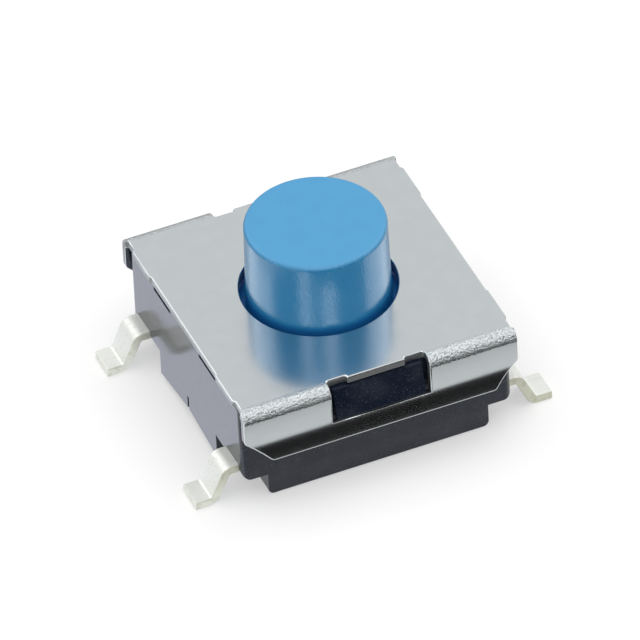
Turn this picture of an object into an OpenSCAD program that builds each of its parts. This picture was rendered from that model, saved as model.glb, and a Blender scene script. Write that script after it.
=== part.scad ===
// Surface-mount push button switch: a black moulded base, a folded steel cover, a round blue
// button over a snap dome, and two contact strips whose ends are the four gull-wing terminals.
//
// Frame: millimetres, +Z up, +X along the line of a terminal strip, the folded flaps at -Y and +Y.
// Origin: on the button axis, level with the undersides of the four terminal feet.

/* [Part to draw] */
// Sub-part to draw, or all of them

/* [Base] */
// Inset of the base's side walls from the edges of the cover's top plate
wall_inset = 0.01; // [0:0.01:0.1]
// Gap between the end faces of the base and the inner faces of the flaps
flap_gap = 0.14; // [0.02:0.01:0.2]
// Rounding of the base's upright corners
wall_r = 0.15; // [0.02:0.01:0.3]
// Gap between the underside of the base and the plane of the terminal feet
seat_gap = 0.04; // [0.02:0.01:0.15]
// Height of the ledge where the wide upper part of the base begins
ledge_z = 0.56; // [0.3:0.01:0.66]
// Rounding of the long lower edges of the wide upper part
ledge_r = 0.2; // [0.1:0.01:0.4]
// Length along X of the narrow lower block
block_w = 4.78; // [4:0.02:5.6]
// Rounding of the long lower edges of the narrow block
block_r = 0.12; // [0.02:0.01:0.2]
// Length along Y of the side panel that reaches down between two terminals
panel_len = 2.84; // [1.5:0.02:3.4]
// Height of the lower corners of a side panel
panel_z = 0.15; // [0.08:0.01:0.4]
// Rise of a side panel's lower edge from its corners to its middle
panel_rise = 0.17; // [0:0.01:0.25]
// Width of the mould slit in the middle of a side panel
slit_w = 0.07; // [0.04:0.01:0.15]
// Height of the top end of the mould slit
slit_z = 0.62; // [0.4:0.01:0.9]
// Depth of the mould slit into the side wall
slit_depth = 0.25; // [0.1:0.01:0.4]
// Distance from the middle of a side wall to the near end of a vent notch in its top
vent_from = 0.72; // [0.4:0.02:1.2]
// Length of a vent notch along Y
vent_len = 0.84; // [0.4:0.02:1.1]
// Depth of a vent notch below the top of the wall
vent_drop = 0.1; // [0.03:0.01:0.2]
// Depth of a vent notch into the wall along X
vent_depth = 0.3; // [0.1:0.01:0.4]
// Diameter of the round cavity that holds the dome and guides the button
cavity_d = 4.5; // [4:0.02:4.8]

/* [Catch] */
// Clearance between each side of the wedge catch and the side of its window
catch_side = 0.1; // [0.02:0.01:0.4]
// Reach of the catch outward from the end face of the base, at its lower end
catch_out = 0.28; // [0.16:0.01:0.3]
// Reach of the catch outward at its upper end
catch_crest = 0.1; // [0:0.01:0.12]
// Height of the upright face at the lower end of the catch
catch_lip = 0.04; // [0.02:0.01:0.2]
// Clearance between the lower face of the catch and the strip below it
catch_gap = 0.02; // [0.01:0.01:0.1]
// Drop from the underside of the cover's plate to the upper end of the catch
catch_drop = 0.04; // [0:0.01:0.2]

/* [Cover] */
// Height of the cover's top face above the plane of the terminal feet
cover_top = 2.5; // [2.4:0.02:3.5]
// Thickness of the cover's steel sheet
sheet_t = 0.16; // [0.1:0.01:0.3]
// Width of the top plate along X in its middle
plate_w = 5.86; // [5.6:0.02:6.6]
// Step outward of the plate's end bands and of the flaps, on each side
band_out = 0.03; // [0.01:0.01:0.1]
// Depth of the cover along Y, over the vertical parts of its flaps
cover_d = 6.2; // [6:0.02:7]
// Outside radius of the folds
fold_r = 0.25; // [0.22:0.01:0.5]
// Gap round the button in the cover's hole
hole_gap = 0.15; // [0.1:0.01:0.3]
// Distance from the middle to where the top plate widens
band_y = 1.64; // [1:0.02:2.2]
// Length along Y of the relief in the plate edge beside each fold
relief_len = 0.4; // [0.1:0.02:0.6]
// Depth along X of the relief in the plate edge beside each fold
relief_in = 0.05; // [0.02:0.01:0.2]

/* [Flaps] */
// Drop from the cover's top face to where a flap starts to flare outward
flare_drop = 0.8; // [0.7:0.01:0.95]
// Radius of the flared strip, on its outer face
flare_r = 0.86; // [0.4:0.02:1.5]
// Angle through which the strip flares
flare_angle = 30; // [10:1:45]
// Drop from the cover's top face to the upper end of a flap's cut corner
corner_drop = 0.73; // [0.5:0.01:0.76]
// Length along X of the cut corner, at the strip's lower edge
corner_w = 0.54; // [0.2:0.02:1]
// Rounding at both ends of the cut corner
corner_r = 0.12; // [0.02:0.01:0.2]
// Width of the window in each flap
window_w = 2.12; // [1.2:0.02:3]
// Drop from the cover's top face to the window's lower edge
window_drop = 0.87; // [0.5:0.01:0.95]
// Width of the flat tongue left at the top of the window
tongue_w = 1.26; // [0.6:0.02:1.8]
// Distance from the flap's outer face back to the tongue's straight edge
tongue_back = 0.23; // [0.02:0.01:0.24]
// Depth of the rounded relief on each side of the tongue, into the flat plate
ear_in = 0.05; // [0.03:0.01:0.3]
// Corner radius of the rounded relief
ear_r = 0.06; // [0.02:0.01:0.2]

/* [Button] */
// Diameter of the button at its flat top
button_d = 2.88; // [2:0.02:3.4]
// Height of the button's top face above the cover
button_h = 1.62; // [0.4:0.01:3]
// Increase of the button's radius from its top down to its flange
button_taper = 0.03; // [0:0.01:0.06]
// Rounding of the button's top edge
button_r = 0.1; // [0.02:0.01:0.3]
// Radial clearance between the flange and the cavity wall
flange_clear = 0.05; // [0.02:0.01:0.1]
// Clearance between the flange and the underside of the cover
flange_gap = 0.04; // [0.02:0.01:0.1]
// Thickness of the flange
flange_t = 0.5; // [0.3:0.02:0.7]
// Diameter of the nub that presses the dome
nub_d = 1.2; // [0.6:0.02:2]
// Clearance between the nub and the top of the dome
nub_gap = 0.01; // [0.01:0.01:0.05]

/* [Contacts] */
// Thickness of the contact strips
strip_t = 0.19; // [0.1:0.01:0.25]
// Width of a terminal
strip_w = 0.66; // [0.4:0.02:1]
// Thickness of plastic between a strip's outer edge and the end face of the base
strip_edge = 0.22; // [0.1:0.01:0.5]
// Height of the strips' top face inside the base
strip_z = 0.84; // [0.8:0.01:1.1]
// Distance from the side wall of the base to the start of a terminal's first bend
bend_out = 0.14; // [0.02:0.01:0.2]
// Inside radius of a terminal's bends
bend_r = 0.08; // [0.05:0.01:0.25]
// Lean of a terminal's leg outward from the vertical, in degrees
leg_lean = 24; // [0:1:30]
// Reach of a terminal's foot from the side wall of the base out to its tip
terminal_out = 0.955; // [0.7:0.005:2]
// Width of the tongue that carries the centre contact
centre_w = 0.9; // [0.5:0.02:1.4]
// Width of each arm that carries an outer contact
arm_w = 0.5; // [0.3:0.02:0.7]
// Distance from the dome's rim in to the centre line of an arm
arm_in = 0.25; // [0.1:0.01:0.5]
// Reach of each arm beyond the middle
arm_reach = 1.1; // [0.6:0.02:1.5]

/* [Dome] */
// Gap between the rim of the snap dome and the cavity wall
dome_gap = 0.25; // [0.05:0.01:0.4]
// Distance between the two straight sides of the snap dome
dome_flat = 3.2; // [2.4:0.02:3.5]
// Rise of the dome from its rim to its middle
dome_rise = 0.36; // [0.3:0.01:0.45]
// Thickness of the dome's spring sheet
dome_t = 0.06; // [0.04:0.01:0.1]

/* [Hidden] */

base_color = "#2A2D35";
cover_color = "#C5C9CB";
button_color = "#4A9AD4";
dome_color = "#B9BBBB";
strip_color = "#E2E2DE";

over = 0.1;                 // how far a cutter runs past the face it cuts
arc_steps = 8;              // straight steps in one bend or rounded rim
dome_steps = 9;             // steps from the dome's rim to its middle
$fn = 96;                   // sides of a round

cover_w = plate_w + 2 * band_out;
plate_under = cover_top - sheet_t;
fold_y = cover_d / 2 - fold_r;
fold_z = cover_top - fold_r;
flare_z = cover_top - flare_drop;
window_z = cover_top - window_drop;
corner_z = cover_top - corner_drop;
lip_z = flare_z - flare_r * sin(flare_angle);
tongue_y = cover_d / 2 - tongue_back;
base_w = plate_w - 2 * wall_inset;
base_d = cover_d - 2 * (sheet_t + flap_gap);
catch_top = plate_under - catch_drop;
hole_d = button_d + 2 * (button_taper + hole_gap);
catch_w = window_w - 2 * catch_side;
dome_d = cavity_d - 2 * dome_gap;
arm_x = dome_d / 2 - arm_in;
flange_top = plate_under - flange_gap;
flange_under = flange_top - flange_t;
dome_top = strip_z + dome_rise + dome_t;
strip_under = strip_z - strip_t;
block_x = block_w / 2;
wall_x = base_w / 2;
bend_x = wall_x + bend_out;
tip_x = wall_x + terminal_out;
pitch = base_d - 2 * strip_edge - strip_w;

// Base

// A bar along Y, its two lower edges rounded
module rounded_bar(half_w, z0, z1, r) {
    translate([-half_w, -base_d / 2, z0 + r])
        cube([2 * half_w, base_d, z1 - z0 - r]);
    translate([r - half_w, -base_d / 2, z0])
        cube([2 * (half_w - r), base_d, r]);
    for (side = [-1, 1])
        translate([side * (half_w - r), base_d / 2, z0 + r])
            rotate([90, 0, 0])
                cylinder(r = r, h = base_d);
}

// The two side panels between the terminals, in one bar from wall to wall
module side_panels() {
    rotate([90, 0, 90])
        translate([0, 0, -wall_x])
            linear_extrude(height = base_w)
                polygon([
                    [-panel_len / 2, panel_z],
                    [0, panel_z + panel_rise],
                    [panel_len / 2, panel_z],
                    [panel_len / 2, strip_z],
                    [-panel_len / 2, strip_z]
                ]);
}

// The wedge that holds the window of one flap
module catch_wedge() {
    low = window_z + catch_gap;
    root = base_d / 2;
    rotate([90, 0, 90])
        translate([0, 0, -catch_w / 2])
            linear_extrude(height = catch_w)
                polygon([
                    [root - over, low],
                    [root + catch_out, low],
                    [root + catch_out, low + catch_lip],
                    [root + catch_crest, catch_top],
                    [root - over, catch_top]
                ]);
}

// The openings in a side wall: a slit in its panel and two vent notches in its top
module wall_cuts() {
    translate([wall_x - slit_depth, -slit_w / 2, panel_z])
        cube([slit_depth + over, slit_w, slit_z - panel_z]);
    for (end = [0, 1])
        mirror([0, end, 0])
            translate([wall_x - vent_depth, vent_from, plate_under - vent_drop])
                cube([vent_depth + over, vent_len, vent_drop + over]);
}

// The wide upper part on its narrower block, with the side panels, the upright corners rounded
module moulding() {
    intersection() {
        union() {
            rounded_bar(wall_x, ledge_z, plate_under, ledge_r);
            rounded_bar(block_x, seat_gap, ledge_z + ledge_r, block_r);
            side_panels();
        }
        linear_extrude(height = plate_under)
            offset(r = wall_r)
                square([base_w - 2 * wall_r, base_d - 2 * wall_r], center = true);
    }
}

module base() {
    color(base_color)
        difference() {
            union() {
                moulding();
                catch_wedge();
                mirror([0, 1, 0])
                    catch_wedge();
            }
            translate([0, 0, strip_z])
                cylinder(d = cavity_d, h = plate_under - strip_z + over);
            for (side = [0, 1])
                mirror([side, 0, 0])
                    wall_cuts();
            inner_flat(base_w + 2 * over);
            outer_flat(base_w + 2 * over);
        }
}

// Contact strips

// Points on an arc from angle a0 to angle a1
function arc(cx, cy, r, a0, a1) = [
    for (i = [0 : arc_steps])
        let (a = a0 + (a1 - a0) * i / arc_steps)
            [cx + r * cos(a), cy + r * sin(a)]
];

function unit(v) = v / norm(v);

// Points on the arc of radius r that rounds the corner b of the line a, b, c
function fillet(a, b, c, r) =
    let (
        u = unit(a - b),
        v = unit(c - b),
        half = acos(u * v) / 2,
        centre = b + unit(u + v) * r / sin(half),
        from = b + u * r / tan(half) - centre,
        a0 = atan2(from[1], from[0]),
        turn = (180 - 2 * half) * sign(cross(v, u))
    )
    arc(centre[0], centre[1], r, a0, a0 + turn);

// The side view of one terminal, from the strip's flat to the tip of its foot
module terminal_profile() {
    turn = 90 - leg_lean;
    outer_r = bend_r + strip_t;
    c1 = [bend_x, strip_under - bend_r];
    foot_c = strip_t + bend_r;
    mid_r = bend_r + strip_t / 2;
    leg = c1[1] + mid_r * cos(turn) - (foot_c - mid_r * cos(turn));
    c2 = [bend_x + 2 * mid_r * sin(turn) + leg * tan(leg_lean), foot_c];
    polygon(concat(
        [[bend_x - over, strip_z]],
        arc(c1[0], c1[1], outer_r, 90, 90 - turn),
        arc(c2[0], c2[1], bend_r, 270 - turn, 270),
        [[tip_x, strip_t], [tip_x, 0]],
        arc(c2[0], c2[1], outer_r, 270, 270 - turn),
        arc(c1[0], c1[1], bend_r, 90 - turn, 90),
        [[bend_x - over, strip_under]]
    ));
}

// The two terminals at the ends of the strip that lies at y
module terminals(y) {
    for (side = [0, 1])
        mirror([side, 0, 0])
            translate([0, y + strip_w / 2, 0])
                rotate([90, 0, 0])
                    linear_extrude(height = strip_w)
                        terminal_profile();
}

// The flat part of the strip with the centre contact, w long
module inner_flat(w) {
    translate([-w / 2, -(pitch + strip_w) / 2, strip_under])
        cube([w, strip_w, strip_t]);
    translate([-centre_w / 2, -pitch / 2, strip_under])
        cube([centre_w, pitch / 2 + centre_w / 2, strip_t]);
}

// The flat part of the strip with the two outer contacts, w long
module outer_flat(w) {
    translate([-w / 2, (pitch - strip_w) / 2, strip_under])
        cube([w, strip_w, strip_t]);
    for (side = [-1, 1])
        translate([side * arm_x - arm_w / 2, -arm_reach, strip_under])
            cube([arm_w, arm_reach + pitch / 2, strip_t]);
}

module inner_contact() {
    color(strip_color) {
        inner_flat(2 * bend_x);
        terminals(-pitch / 2);
    }
}

module outer_contact() {
    color(strip_color) {
        outer_flat(2 * bend_x);
        terminals(pitch / 2);
    }
}

// Snap dome

// Height of the dome's lower face at radius r
function dome_z(r) = dome_rise * (1 - pow(2 * r / dome_d, 2));

module snap_dome() {
    rim = dome_d / 2;
    radii = [for (i = [0 : dome_steps]) rim * i / dome_steps];
    lower = [for (r = radii) [r, dome_z(r)]];
    upper = [for (i = [dome_steps : -1 : 0]) [radii[i], dome_z(radii[i]) + dome_t]];
    color(dome_color)
        intersection() {
            translate([0, 0, strip_z])
                rotate_extrude()
                    polygon(concat(lower, upper));
            translate([-rim, -dome_flat / 2, strip_z])
                cube([2 * rim, dome_flat, dome_rise + dome_t]);
        }
}

// Cover

// A piece of bent sheet along X: inner radius r_in, from angle a0 over a turn
module bent_sheet(r_in, a0, turn, w) {
    rotate([0, 90, 0])
        rotate([0, 0, a0])
            translate([0, 0, -w / 2])
                rotate_extrude(angle = turn)
                    translate([r_in, 0])
                        square([sheet_t, w]);
}

// The front flap: fold, vertical part and flared strip, corners cut and window open
module flap() {
    difference() {
        union() {
            translate([0, -fold_y, fold_z])
                bent_sheet(fold_r - sheet_t, 180, 90, cover_w);
            translate([-cover_w / 2, -cover_d / 2, flare_z])
                cube([cover_w, sheet_t, fold_z - flare_z]);
            translate([0, -cover_d / 2 - flare_r, flare_z])
                bent_sheet(flare_r, 90 - flare_angle, flare_angle, cover_w);
        }
        translate([-window_w / 2, -cover_d / 2 - over, window_z])
            cube([window_w, cover_d / 2 - fold_y + over, cover_top - window_z + over]);
        for (side = [0, 1])
            mirror([side, 0, 0])
                corner_cutter();
    }
}

// The wedge of air cut from one lower corner of the front flap, both ends of the cut rounded
module corner_cutter() {
    side_top = [cover_w / 2, cover_top];
    upper = [cover_w / 2, corner_z];
    lower = [cover_w / 2 - corner_w, lip_z];
    middle = [0, lip_z];
    upper_arc = fillet(side_top, upper, lower, corner_r);
    lower_arc = fillet(upper, lower, middle, corner_r);
    floor_z = lip_z - sheet_t - over;
    translate([0, -cover_d / 2 + sheet_t + over, 0])
        rotate([90, 0, 0])
            linear_extrude(height = flare_r)
                polygon(concat(
                    [[cover_w / 2 + over, upper_arc[0][1]]],
                    upper_arc,
                    lower_arc,
                    [[lower_arc[arc_steps][0], floor_z], [cover_w / 2 + over, floor_z]]
                ));
}

// One rounded relief in the flat plate, beside the front tongue
module ear_cutter() {
    x0 = tongue_w / 2;
    x1 = window_w / 2;
    y0 = -fold_y + ear_in;
    drop = sheet_t + 2 * over;
    translate([0, 0, plate_under - over]) {
        translate([x0, -cover_d / 2, 0])
            cube([x1 - x0, cover_d / 2 + y0 - ear_r, drop]);
        translate([x0 + ear_r, -cover_d / 2, 0])
            cube([x1 - x0 - 2 * ear_r, cover_d / 2 + y0, drop]);
        for (x = [x0 + ear_r, x1 - ear_r])
            translate([x, y0 - ear_r, 0])
                cylinder(r = ear_r, h = drop);
    }
}

// The cutter that narrows one side edge of the cover, in its middle and beside the front fold
module edge_cutter() {
    slope = relief_in;
    far = fold_y + sheet_t / 2;
    translate([0, 0, plate_under - fold_r])
        linear_extrude(height = sheet_t + fold_r + over)
            polygon([
                [cover_w / 2 + over, over],
                [plate_w / 2, over],
                [plate_w / 2, -band_y],
                [cover_w / 2, -band_y - (cover_w - plate_w) / 2],
                [cover_w / 2, relief_len - far],
                [cover_w / 2 - relief_in, relief_len - far - slope],
                [cover_w / 2 - relief_in, slope - far],
                [cover_w / 2 + over, -far - over]
            ]);
}

module cover() {
    color(cover_color)
        difference() {
            union() {
                translate([-cover_w / 2, -fold_y, plate_under])
                    cube([cover_w, 2 * fold_y, sheet_t]);
                for (end = [0, 1])
                    mirror([0, end, 0]) {
                        flap();
                        translate([-tongue_w / 2, -tongue_y, plate_under])
                            cube([tongue_w, tongue_y - fold_y + over, sheet_t]);
                    }
            }
            translate([0, 0, plate_under - over])
                cylinder(d = hole_d, h = sheet_t + 2 * over);
            for (end = [0, 1])
                for (side = [0, 1])
                    mirror([0, end, 0])
                        mirror([side, 0, 0]) {
                            ear_cutter();
                            edge_cutter();
                        }
        }
}

// Button

module button() {
    top = cover_top + button_h;
    r = button_d / 2;
    flange_r = cavity_d / 2 - flange_clear;
    color(button_color)
        rotate_extrude()
            polygon(concat(
                [[0, top]],
                arc(r - button_r, top - button_r, button_r, 90, 0),
                [
                    [r + button_taper, flange_top],
                    [flange_r, flange_top],
                    [flange_r, flange_under],
                    [nub_d / 2, flange_under],
                    [nub_d / 2, dome_top + nub_gap],
                    [0, dome_top + nub_gap]
                ]
            ));
}

base();
cover();
button();
snap_dome();
inner_contact();
outer_contact();
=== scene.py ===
"""Surface-mount push button switch: its visible pieces, their finishes and a plain light studio.

Lengths in the classes are millimetres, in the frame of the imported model: +Z up, +X along a contact
strip, the origin on the button's axis at the level of the terminals' feet.
"""

import logging
import math
from collections.abc import Iterator
from contextlib import contextmanager
from dataclasses import dataclass, field
from enum import Enum, IntEnum
from typing import Union

import bmesh
import bpy
from mathutils import Matrix, Vector

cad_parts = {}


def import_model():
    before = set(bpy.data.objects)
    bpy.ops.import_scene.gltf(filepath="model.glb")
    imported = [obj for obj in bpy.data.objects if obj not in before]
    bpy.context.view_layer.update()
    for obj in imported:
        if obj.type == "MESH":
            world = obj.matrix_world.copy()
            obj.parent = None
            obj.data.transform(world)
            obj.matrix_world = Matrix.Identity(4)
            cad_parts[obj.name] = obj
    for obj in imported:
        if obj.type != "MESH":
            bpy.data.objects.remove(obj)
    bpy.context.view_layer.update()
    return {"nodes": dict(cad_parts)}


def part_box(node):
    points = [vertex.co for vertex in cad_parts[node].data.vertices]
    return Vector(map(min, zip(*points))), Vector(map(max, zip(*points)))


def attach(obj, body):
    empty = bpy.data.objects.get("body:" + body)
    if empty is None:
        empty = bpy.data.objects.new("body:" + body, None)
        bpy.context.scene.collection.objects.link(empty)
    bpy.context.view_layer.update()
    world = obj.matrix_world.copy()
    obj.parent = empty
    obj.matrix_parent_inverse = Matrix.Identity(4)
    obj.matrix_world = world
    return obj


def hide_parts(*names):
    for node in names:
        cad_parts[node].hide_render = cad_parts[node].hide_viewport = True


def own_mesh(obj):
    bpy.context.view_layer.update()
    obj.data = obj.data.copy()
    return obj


log = logging.getLogger("push_button_switch")

MM = 0.001  # metres in a millimetre
QUARTER_TURN = math.pi / 2
SAME_POINT = 1e-7  # metres within which two vertices are one
FLAT_TURN = 1.0  # degrees up to which two faces lie in one plane
NOISE_MIDDLE = 0.5  # the value round which noise varies
FLAG_SET = 0.5  # the value above which a flag counts as set

Point = tuple[float, float]
Place = tuple[float, float, float]
Band = tuple[float, float]


class Body(Enum):
    """The two bodies that the switch moves as."""

    HOUSING = "body"
    BUTTON = "button"


class Slot(Enum):
    """The record's material slots."""

    BASE = "base_plastic"
    COVER = "cover_steel"
    BUTTON = "button_plastic"
    DOME = "dome_steel"
    CONTACT = "plated_brass"


class SheetSide(IntEnum):
    """The material slots of a sheet while it is flat."""

    SKIN = 0
    CUT = 1
    INNER = 2


# Node trees


Operand = Union["Signal", float]
Values = dict[int | str, object]


class Signal:
    """A value on its way through a node tree, with arithmetic that adds Math nodes."""

    def __init__(self, graph: "Graph", socket: bpy.types.NodeSocket) -> None:
        """Wraps one output socket of a node in graph."""
        self.graph = graph
        self.socket = socket

    def of(self, output: int | str) -> "Signal":
        """Another output of the same node."""
        return Signal(self.graph, self.graph.find(self.socket.node.outputs, output))

    def _maths(self, operation: str, *terms: Operand) -> "Signal":
        """A Math node of that operation on the terms."""
        return self.graph.add("ShaderNodeMath", {"operation": operation}, dict(enumerate(terms)))

    def __add__(self, other: Operand) -> "Signal":
        """self + other."""
        return self._maths("ADD", self, other)

    def __radd__(self, other: Operand) -> "Signal":
        """other + self."""
        return self._maths("ADD", other, self)

    def __sub__(self, other: Operand) -> "Signal":
        """self - other."""
        return self._maths("SUBTRACT", self, other)

    def __rsub__(self, other: Operand) -> "Signal":
        """other - self."""
        return self._maths("SUBTRACT", other, self)

    def __mul__(self, other: Operand) -> "Signal":
        """self * other."""
        return self._maths("MULTIPLY", self, other)

    def __rmul__(self, other: Operand) -> "Signal":
        """other * self."""
        return self._maths("MULTIPLY", other, self)

    def __truediv__(self, other: Operand) -> "Signal":
        """self / other."""
        return self._maths("DIVIDE", self, other)

    def __gt__(self, other: Operand) -> "Signal":
        """1 where self is above other, and 0 elsewhere."""
        return self._maths("GREATER_THAN", self, other)

    def least(self, other: Operand) -> "Signal":
        """The lesser of self and other."""
        return self._maths("MINIMUM", self, other)

    def most(self, other: Operand) -> "Signal":
        """The greater of self and other."""
        return self._maths("MAXIMUM", self, other)

    def size(self) -> "Signal":
        """The value without its sign."""
        return self._maths("ABSOLUTE", self)

    def side(self) -> "Signal":
        """1 where the value is positive, and -1 where it is negative."""
        return self._maths("SIGN", self)

    def sine(self) -> "Signal":
        """The sine of the value, in radians."""
        return self._maths("SINE", self)

    def cosine(self) -> "Signal":
        """The cosine of the value, in radians."""
        return self._maths("COSINE", self)

    def between(self, low: float, high: float) -> "Signal":
        """A smooth step from 0 at low to 1 at high."""
        step = {"Value": self, "From Min": low, "From Max": high}
        return self.graph.add("ShaderNodeMapRange", {"interpolation_type": "SMOOTHSTEP"}, step)


class Graph:
    """A shader or geometry node tree being built."""

    def __init__(self, tree: bpy.types.NodeTree) -> None:
        """Starts on an empty tree."""
        self.tree = tree

    @staticmethod
    def find(sockets: bpy.types.NodeInputs, key: int | str) -> bpy.types.NodeSocket:
        """The socket with that index, identifier or name, in this order."""
        if isinstance(key, int):
            return sockets[key]
        return next((s for s in sockets if s.identifier == key), None) or sockets[key]

    def add(
        self,
        kind: str,
        settings: dict[str, object] | None = None,
        values: Values | None = None,
        output: int | str = 0,
    ) -> Signal:
        """Adds one node.

        Args:
            kind: The node's type.
            settings: The node's own settings.
            values: A number, colour or signal for each socket that is named.
            output: The output to go on with.

        Returns:
            The signal that leaves that output.
        """
        node = self.tree.nodes.new(kind)
        for name, value in (settings or {}).items():
            setattr(node, name, value)
        for key, value in (values or {}).items():
            socket = self.find(node.inputs, key)
            if isinstance(value, Signal):
                self.tree.links.new(value.socket, socket)
            else:
                socket.default_value = value
        if not node.outputs:
            return Signal(self, None)
        return Signal(self, self.find(node.outputs, output))

    def millimetres(self) -> Signal:
        """Object coordinates, in millimetres."""
        place = self.add("ShaderNodeTexCoord", output="Object")
        return self.stretched(place, (1 / MM,) * 3)

    def stretched(self, place: Signal, scale: Place) -> Signal:
        """Coordinates scaled along each axis."""
        return self.add("ShaderNodeMapping", values={"Vector": place, "Scale": scale})

    def part(self, vector: Signal, axis: str) -> Signal:
        """One coordinate of a vector, by the name of its axis."""
        return self.add("ShaderNodeSeparateXYZ", values={"Vector": vector}, output=axis)

    def attribute(self, name: str) -> Signal:
        """A number that the mesh carries."""
        return self.add("ShaderNodeAttribute", {"attribute_name": name}, output="Fac")

    def noise(self, place: Signal, size: float, detail: float = 2.0) -> Signal:
        """Smooth noise around 0.5 whose grains are size across, in the units of place."""
        grains = {"Vector": place, "Scale": 1 / size, "Detail": detail}
        return self.add("ShaderNodeTexNoise", values=grains)

    def tint(self, share: Operand, colour: tuple, other: tuple | Signal) -> Signal:
        """A colour that turns into the other as share goes from 0 to 1."""
        mixed = {"Factor_Float": share, "A_Color": colour, "B_Color": other}
        return self.add("ShaderNodeMix", {"data_type": "RGBA"}, mixed, output="Result_Color")

    def relief(self, height: Signal, depth: float) -> Signal:
        """The normal of a surface that rises by depth millimetres as height goes from 0 to 1."""
        return self.add("ShaderNodeBump", values={"Height": height, "Distance": depth * MM})


def bare_graph(owner: bpy.types.Material | bpy.types.World) -> Graph:
    """The emptied node tree of a new material or world."""
    owner.use_nodes = True
    owner.node_tree.nodes.clear()
    return Graph(owner.node_tree)


def paint(code: str) -> tuple[float, float, float, float]:
    """The linear colour that a hexadecimal display colour such as "#2A2D35" stands for."""
    parts = [int(code[i : i + 2], 16) / 255 for i in (1, 3, 5)]
    knee, slope, offset, power = 0.04045, 12.92, 0.055, 2.4
    linear = [p / slope if p <= knee else ((p + offset) / (1 + offset)) ** power for p in parts]
    return (*linear, 1.0)


# Finishes


@dataclass(frozen=True)
class Finish:
    """What every finish has: a name, a colour, a gloss, and patterns that vary them."""

    name: str
    colour: str
    roughness: float
    metallic: float = 0.0
    ior: float = 1.5

    def patterns(self, graph: Graph) -> Values:
        """The sockets of the shader that vary over the surface, and their signals."""
        raise NotImplementedError

    def material(self) -> bpy.types.Material:
        """Builds the material.

        Returns:
            A material with one Principled shader.
        """
        material = bpy.data.materials.new(self.name)
        graph = bare_graph(material)
        constants = {"Metallic": self.metallic, "IOR": self.ior}
        shader = graph.add("ShaderNodeBsdfPrincipled", values=constants | self.patterns(graph))
        graph.add("ShaderNodeOutputMaterial", values={"Surface": shader})
        return material


@dataclass(frozen=True)
class RolledSteel(Finish):
    """Plated cold-rolled sheet: faint rolling lines, and an open bright grain in its folds."""

    line_width: float = 0.03
    line_length: float = 3.0
    line_depth: float = 0.00004
    mottle: float = 0.4
    mottle_band: Band = (0.3, 0.7)
    mottle_depth: float = 0.0002
    mottle_dulling: float = 0.03
    mottle_roughness: float = 0.02
    grain: float = 0.045
    grain_detail: float = 3.0
    grain_depth: float = 0.036
    pit_band: Band = (0.46, 0.7)
    pit_strength: float = 0.5
    pit_colour: str = "#4A4C4C"
    fold_dulling: float = 0.06
    fold_roughness: float = 0.16

    def patterns(self, graph: Graph) -> Values:
        """Rolling lines on the flat, and pits in the stretched skin of the folds."""
        sheet = graph.add("ShaderNodeUVMap", {"uv_map": "blank"})
        strain = graph.attribute("strain")
        rolled = (1 / self.line_length, 1 / self.line_width, 1.0)
        lines = graph.noise(graph.stretched(sheet, rolled), 1.0)
        mottle = graph.noise(sheet, self.mottle)
        grain = graph.noise(sheet, self.grain, self.grain_detail)
        pits = strain * grain.between(*self.pit_band)
        clouds = mottle.between(*self.mottle_band)
        dulled = clouds * self.mottle_dulling + strain * self.fold_dulling
        clean = graph.tint(dulled, paint(self.colour), paint(self.pit_colour))
        relief = strain * (grain - NOISE_MIDDLE) * self.grain_depth
        height = lines * self.line_depth + mottle * self.mottle_depth + relief
        gloss = self.roughness + mottle * self.mottle_roughness + strain * self.fold_roughness
        return {
            "Base Color": graph.tint(pits * self.pit_strength, clean, paint(self.pit_colour)),
            "Roughness": gloss,
            "Normal": graph.relief(height, 1.0),
        }


@dataclass(frozen=True)
class ShearedMetal(Finish):
    """A cut edge of sheet: a burnished part, a torn part, and fine lines across both."""

    line_width: float = 0.02
    line_depth: float = 0.004
    burnished: float = 0.2
    burnished_fade: float = 0.15
    torn_colour: str = "#8C8E8E"
    torn_size: float = 0.12
    torn_band: Band = (0.5, 0.68)
    torn_strength: float = 0.5
    torn_roughness: float = 0.15
    raggedness: float = 0.5

    def patterns(self, graph: Graph) -> Values:
        """Fine upright lines, and a darker ragged part where the metal tore."""
        place = graph.millimetres()
        lines = graph.noise(place, self.line_width)
        patches = graph.noise(place, self.torn_size)
        inward = graph.attribute("sheet_depth") + (patches - NOISE_MIDDLE) * self.raggedness
        spots = patches.between(*self.torn_band) * self.torn_strength
        torn = spots.most(inward.between(self.burnished, self.burnished + self.burnished_fade))
        return {
            "Base Color": graph.tint(torn, paint(self.colour), paint(self.torn_colour)),
            "Roughness": self.roughness + torn * self.torn_roughness,
            "Normal": graph.relief(lines, self.line_depth),
        }


@dataclass(frozen=True)
class TinPlate(Finish):
    """Bright tin plate over brass: softly mottled, with short dull rubs."""

    mottle: float = 0.16
    mottle_detail: float = 3.0
    mottle_depth: float = 0.0022
    mottle_roughness: float = 0.12
    rub_colour: str = "#B9BAB4"
    rub_width: float = 0.05
    rub_length: float = 0.5
    rub_band: Band = (0.6, 0.72)
    rub_strength: float = 0.45
    rub_roughness: float = 0.1

    def patterns(self, graph: Graph) -> Values:
        """A cloudy mottle and rubs that run along the strip."""
        place = graph.millimetres()
        cloud = graph.noise(place, self.mottle, self.mottle_detail)
        along = (1 / self.rub_length, 1 / self.rub_width, 1 / self.rub_width)
        rubs = graph.noise(graph.stretched(place, along), 1.0).between(*self.rub_band)
        gloss = self.roughness + cloud * self.mottle_roughness + rubs * self.rub_roughness
        return {
            "Base Color": graph.tint(
                rubs * self.rub_strength, paint(self.colour), paint(self.rub_colour)
            ),
            "Roughness": gloss,
            "Normal": graph.relief(cloud, self.mottle_depth),
        }


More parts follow.
